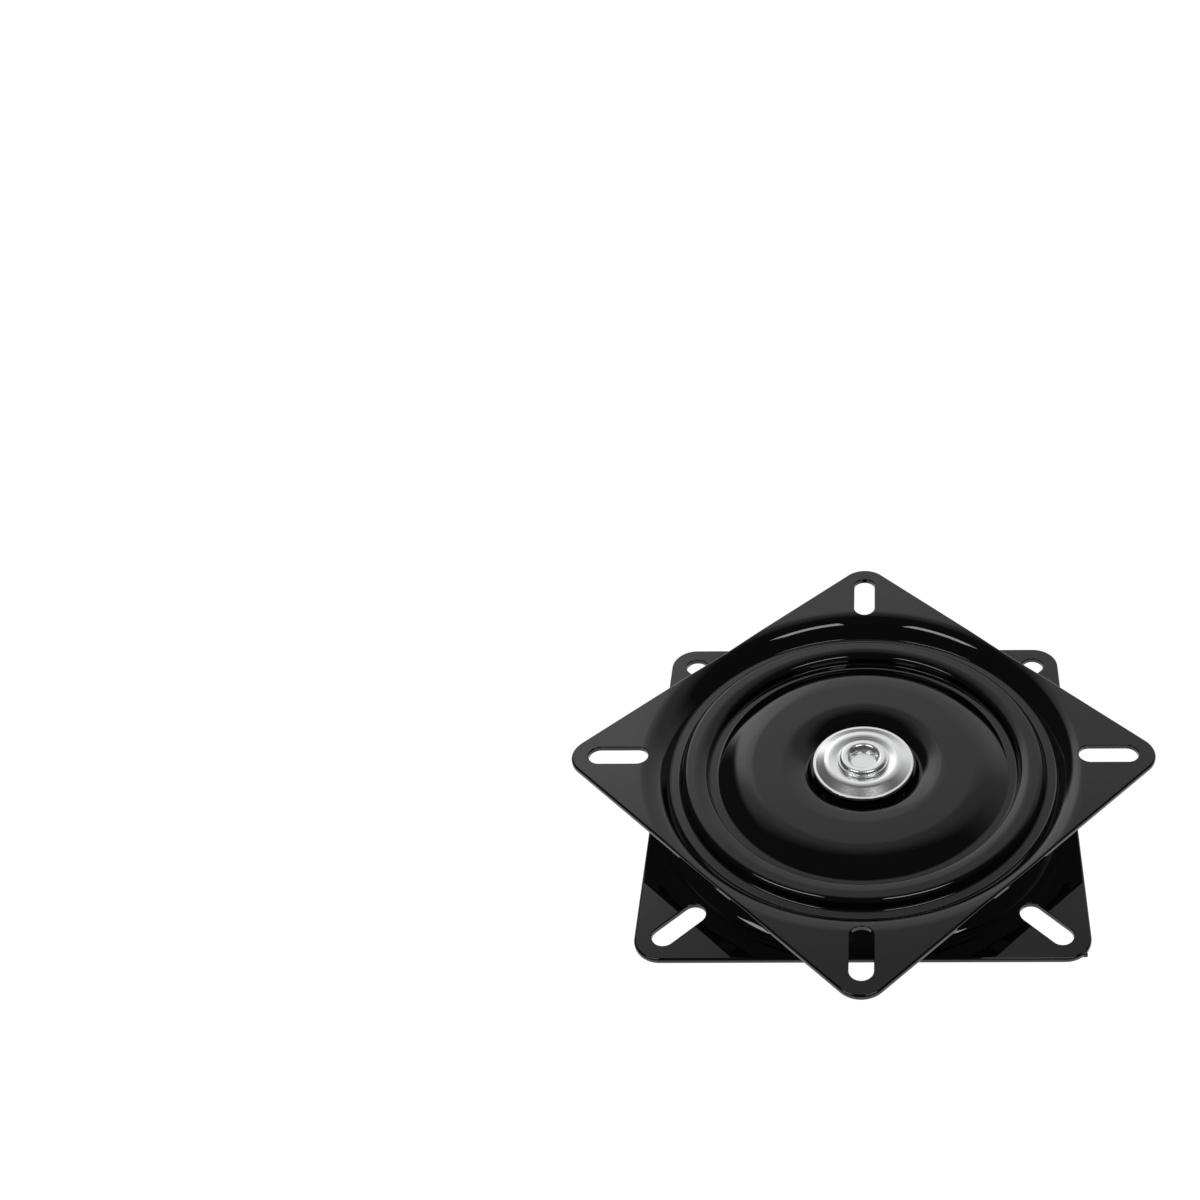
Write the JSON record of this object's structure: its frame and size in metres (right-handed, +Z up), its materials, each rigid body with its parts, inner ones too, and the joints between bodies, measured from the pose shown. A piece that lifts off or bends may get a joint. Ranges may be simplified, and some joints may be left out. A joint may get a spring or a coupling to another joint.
{
  "type": "swivel seat base",
  "caption": "Low swivel base for a seat: two pressed square plates with bolt slots turn on a ball ring round a centre rivet with a dished washer.",
  "frame": {"origin": "centre of the base's underside, on the swivel axis", "axes": "+Z up along the swivel axis towards the seat, X and Y parallel to the lower plate's sides, -Y towards the picture's camera"},
  "size_m": [0.2454, 0.2454, 0.024],
  "materials": {
    "black_paint": "gloss",
    "zinc_plate": "bright",
    "ball_steel": "polished",
    "plain_steel": "satin",
    "cage_plastic": "satin"
  },
  "bodies": {
    "base": {"lower_plate": "black_paint", "rivet": "zinc_plate", "spacer_sleeve": "plain_steel", "top_washer": "zinc_plate", "collar_washer": "zinc_plate", "backing_washer": "zinc_plate"},
    "turntable": {"upper_plate": "black_paint"},
    "load_ring": {"main_balls": "ball_steel", "main_cage": "cage_plastic"},
    "retaining_ring": {"retaining_balls": "ball_steel", "retaining_cage": "cage_plastic"}
  },
  "joints": [
    {"name": "swivel", "type": "hinge", "parent": "base", "child": "turntable", "pos_m": [0, 0, 0.018], "axis": [0, 0, 1], "continuous": true},
    {"name": "load_ring_spin", "type": "hinge", "parent": "base", "child": "load_ring", "pos_m": [0, 0, 0.015], "axis": [0, 0, 1], "continuous": true},
    {"name": "retaining_ring_spin", "type": "hinge", "parent": "base", "child": "retaining_ring", "pos_m": [0, 0, 0.0178], "axis": [0, 0, 1], "continuous": true}
  ],
  "couplings": [
    {"joint": "load_ring_spin", "follows": "swivel", "ratio": 0.5},
    {"joint": "retaining_ring_spin", "follows": "swivel", "ratio": 0.5}
  ]
}
